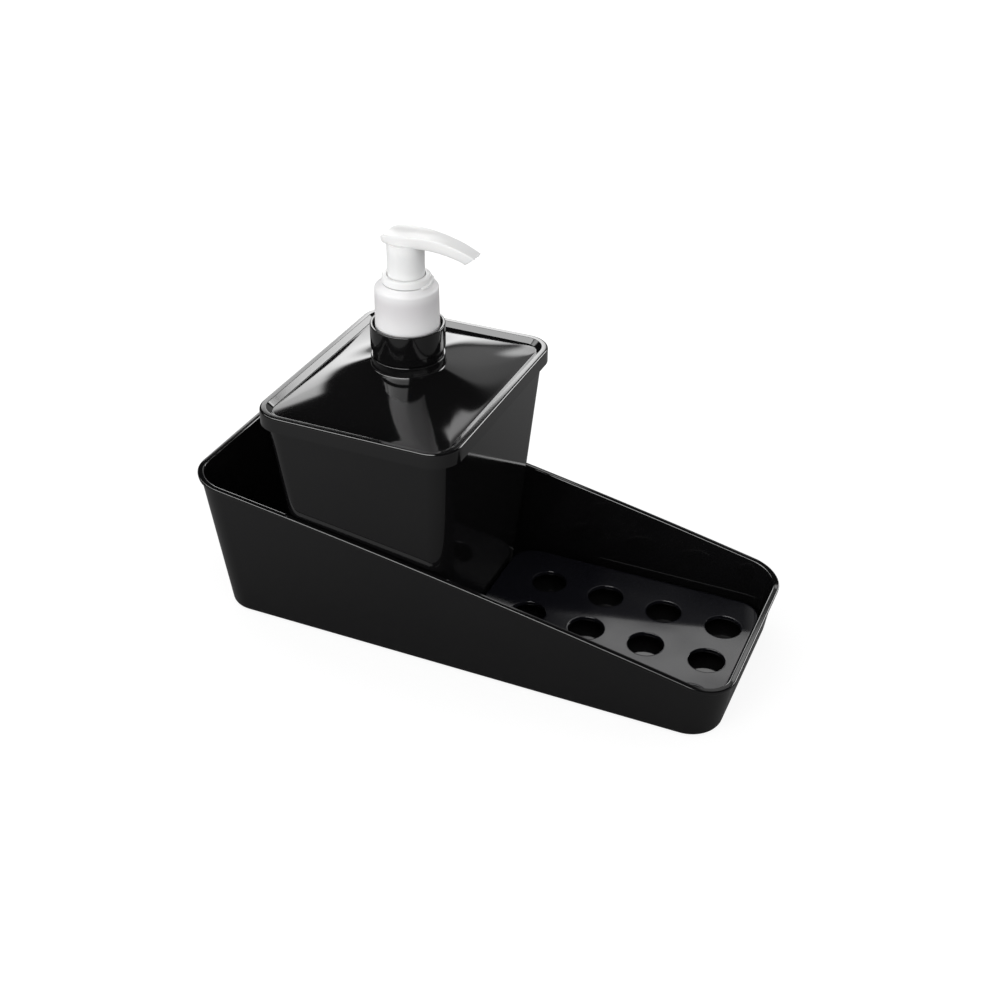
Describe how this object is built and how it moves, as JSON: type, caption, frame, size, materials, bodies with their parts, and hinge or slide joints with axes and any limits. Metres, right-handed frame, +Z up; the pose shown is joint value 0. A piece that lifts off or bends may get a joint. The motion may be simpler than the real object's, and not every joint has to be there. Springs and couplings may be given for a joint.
{
  "type": "detergent dispenser",
  "caption": "Tapered pump canister with a dished lid, standing in a long sloping sink tray beside a raised drip grid with round holes.",
  "frame": {"origin": "middle of the whole object's outline in plan, on the surface that the tray stands on", "axes": "+X along the tray from its tall end to its low end, the way the spout points; +Y across the tray; +Z up"},
  "size_m": [0.2586, 0.1178, 0.1871],
  "materials": {
    "black_gloss_plastic": "polished black plastic",
    "dark_grid_plastic": "glossy black plastic",
    "white_plastic": "satin white plastic",
    "milky_closure_plastic": "milky satin plastic",
    "natural_pump_plastic": "natural translucent plastic",
    "gasket_rubber": "soft foam washer",
    "spring_steel": "bright wire and ball"
  },
  "bodies": {
    "tray": {"tray": "black_gloss_plastic"},
    "grid": {"drip_grid": "dark_grid_plastic"},
    "canister": {"canister": "black_gloss_plastic"},
    "lid": {"lid": "black_gloss_plastic", "neck_ring": "black_gloss_plastic"},
    "pump": {"pump_housing": "natural_pump_plastic", "neck_gasket": "gasket_rubber", "retainer": "white_plastic", "dip_tube": "natural_pump_plastic", "spring": "spring_steel"},
    "closure": {"closure": "milky_closure_plastic"},
    "piston_unit": {"piston": "natural_pump_plastic", "piston_seat": "natural_pump_plastic"},
    "head": {"actuator": "white_plastic", "stem": "natural_pump_plastic"},
    "ball": {"inlet_ball": "spring_steel"}
  },
  "joints": [
    {"name": "grid_lift", "type": "slide", "parent": "tray", "child": "grid", "axis": [0.1093, 0, 0.994], "range_m": [0, 0.2]},
    {"name": "canister_lift", "type": "slide", "parent": "tray", "child": "canister", "axis": [0, 0, 1], "range_m": [0, 0.12]},
    {"name": "lid_lift", "type": "slide", "parent": "canister", "child": "lid", "axis": [0, 0, 1], "range_m": [0, 0.13]},
    {"name": "pump_rise", "type": "slide", "parent": "lid", "child": "pump", "axis": [0, 0, 1], "range_m": [0, 0.0048]},
    {"name": "closure_turn", "type": "hinge", "parent": "pump", "child": "closure", "pos_m": [-0.0397, 0, 0.15], "axis": [0, 0, 1], "range_deg": [0, 540]},
    {"name": "head_press", "type": "slide", "parent": "pump", "child": "piston_unit", "axis": [0, 0, -1], "range_m": [0, 0.011], "stiffness_N_per_m": 500, "springref_m": -0.008, "deforming": ["spring"]},
    {"name": "head_turn", "type": "hinge", "parent": "piston_unit", "child": "head", "pos_m": [-0.0397, 0, 0.17], "axis": [0, 0, 1], "continuous": true},
    {"name": "ball_lift", "type": "slide", "parent": "pump", "child": "ball", "axis": [0, 0, 1], "range_m": [0, 0.0015]}
  ],
  "couplings": [
    {"joint": "pump_rise", "follows": "closure_turn", "m_per_rad": 0.00050532}
  ]
}
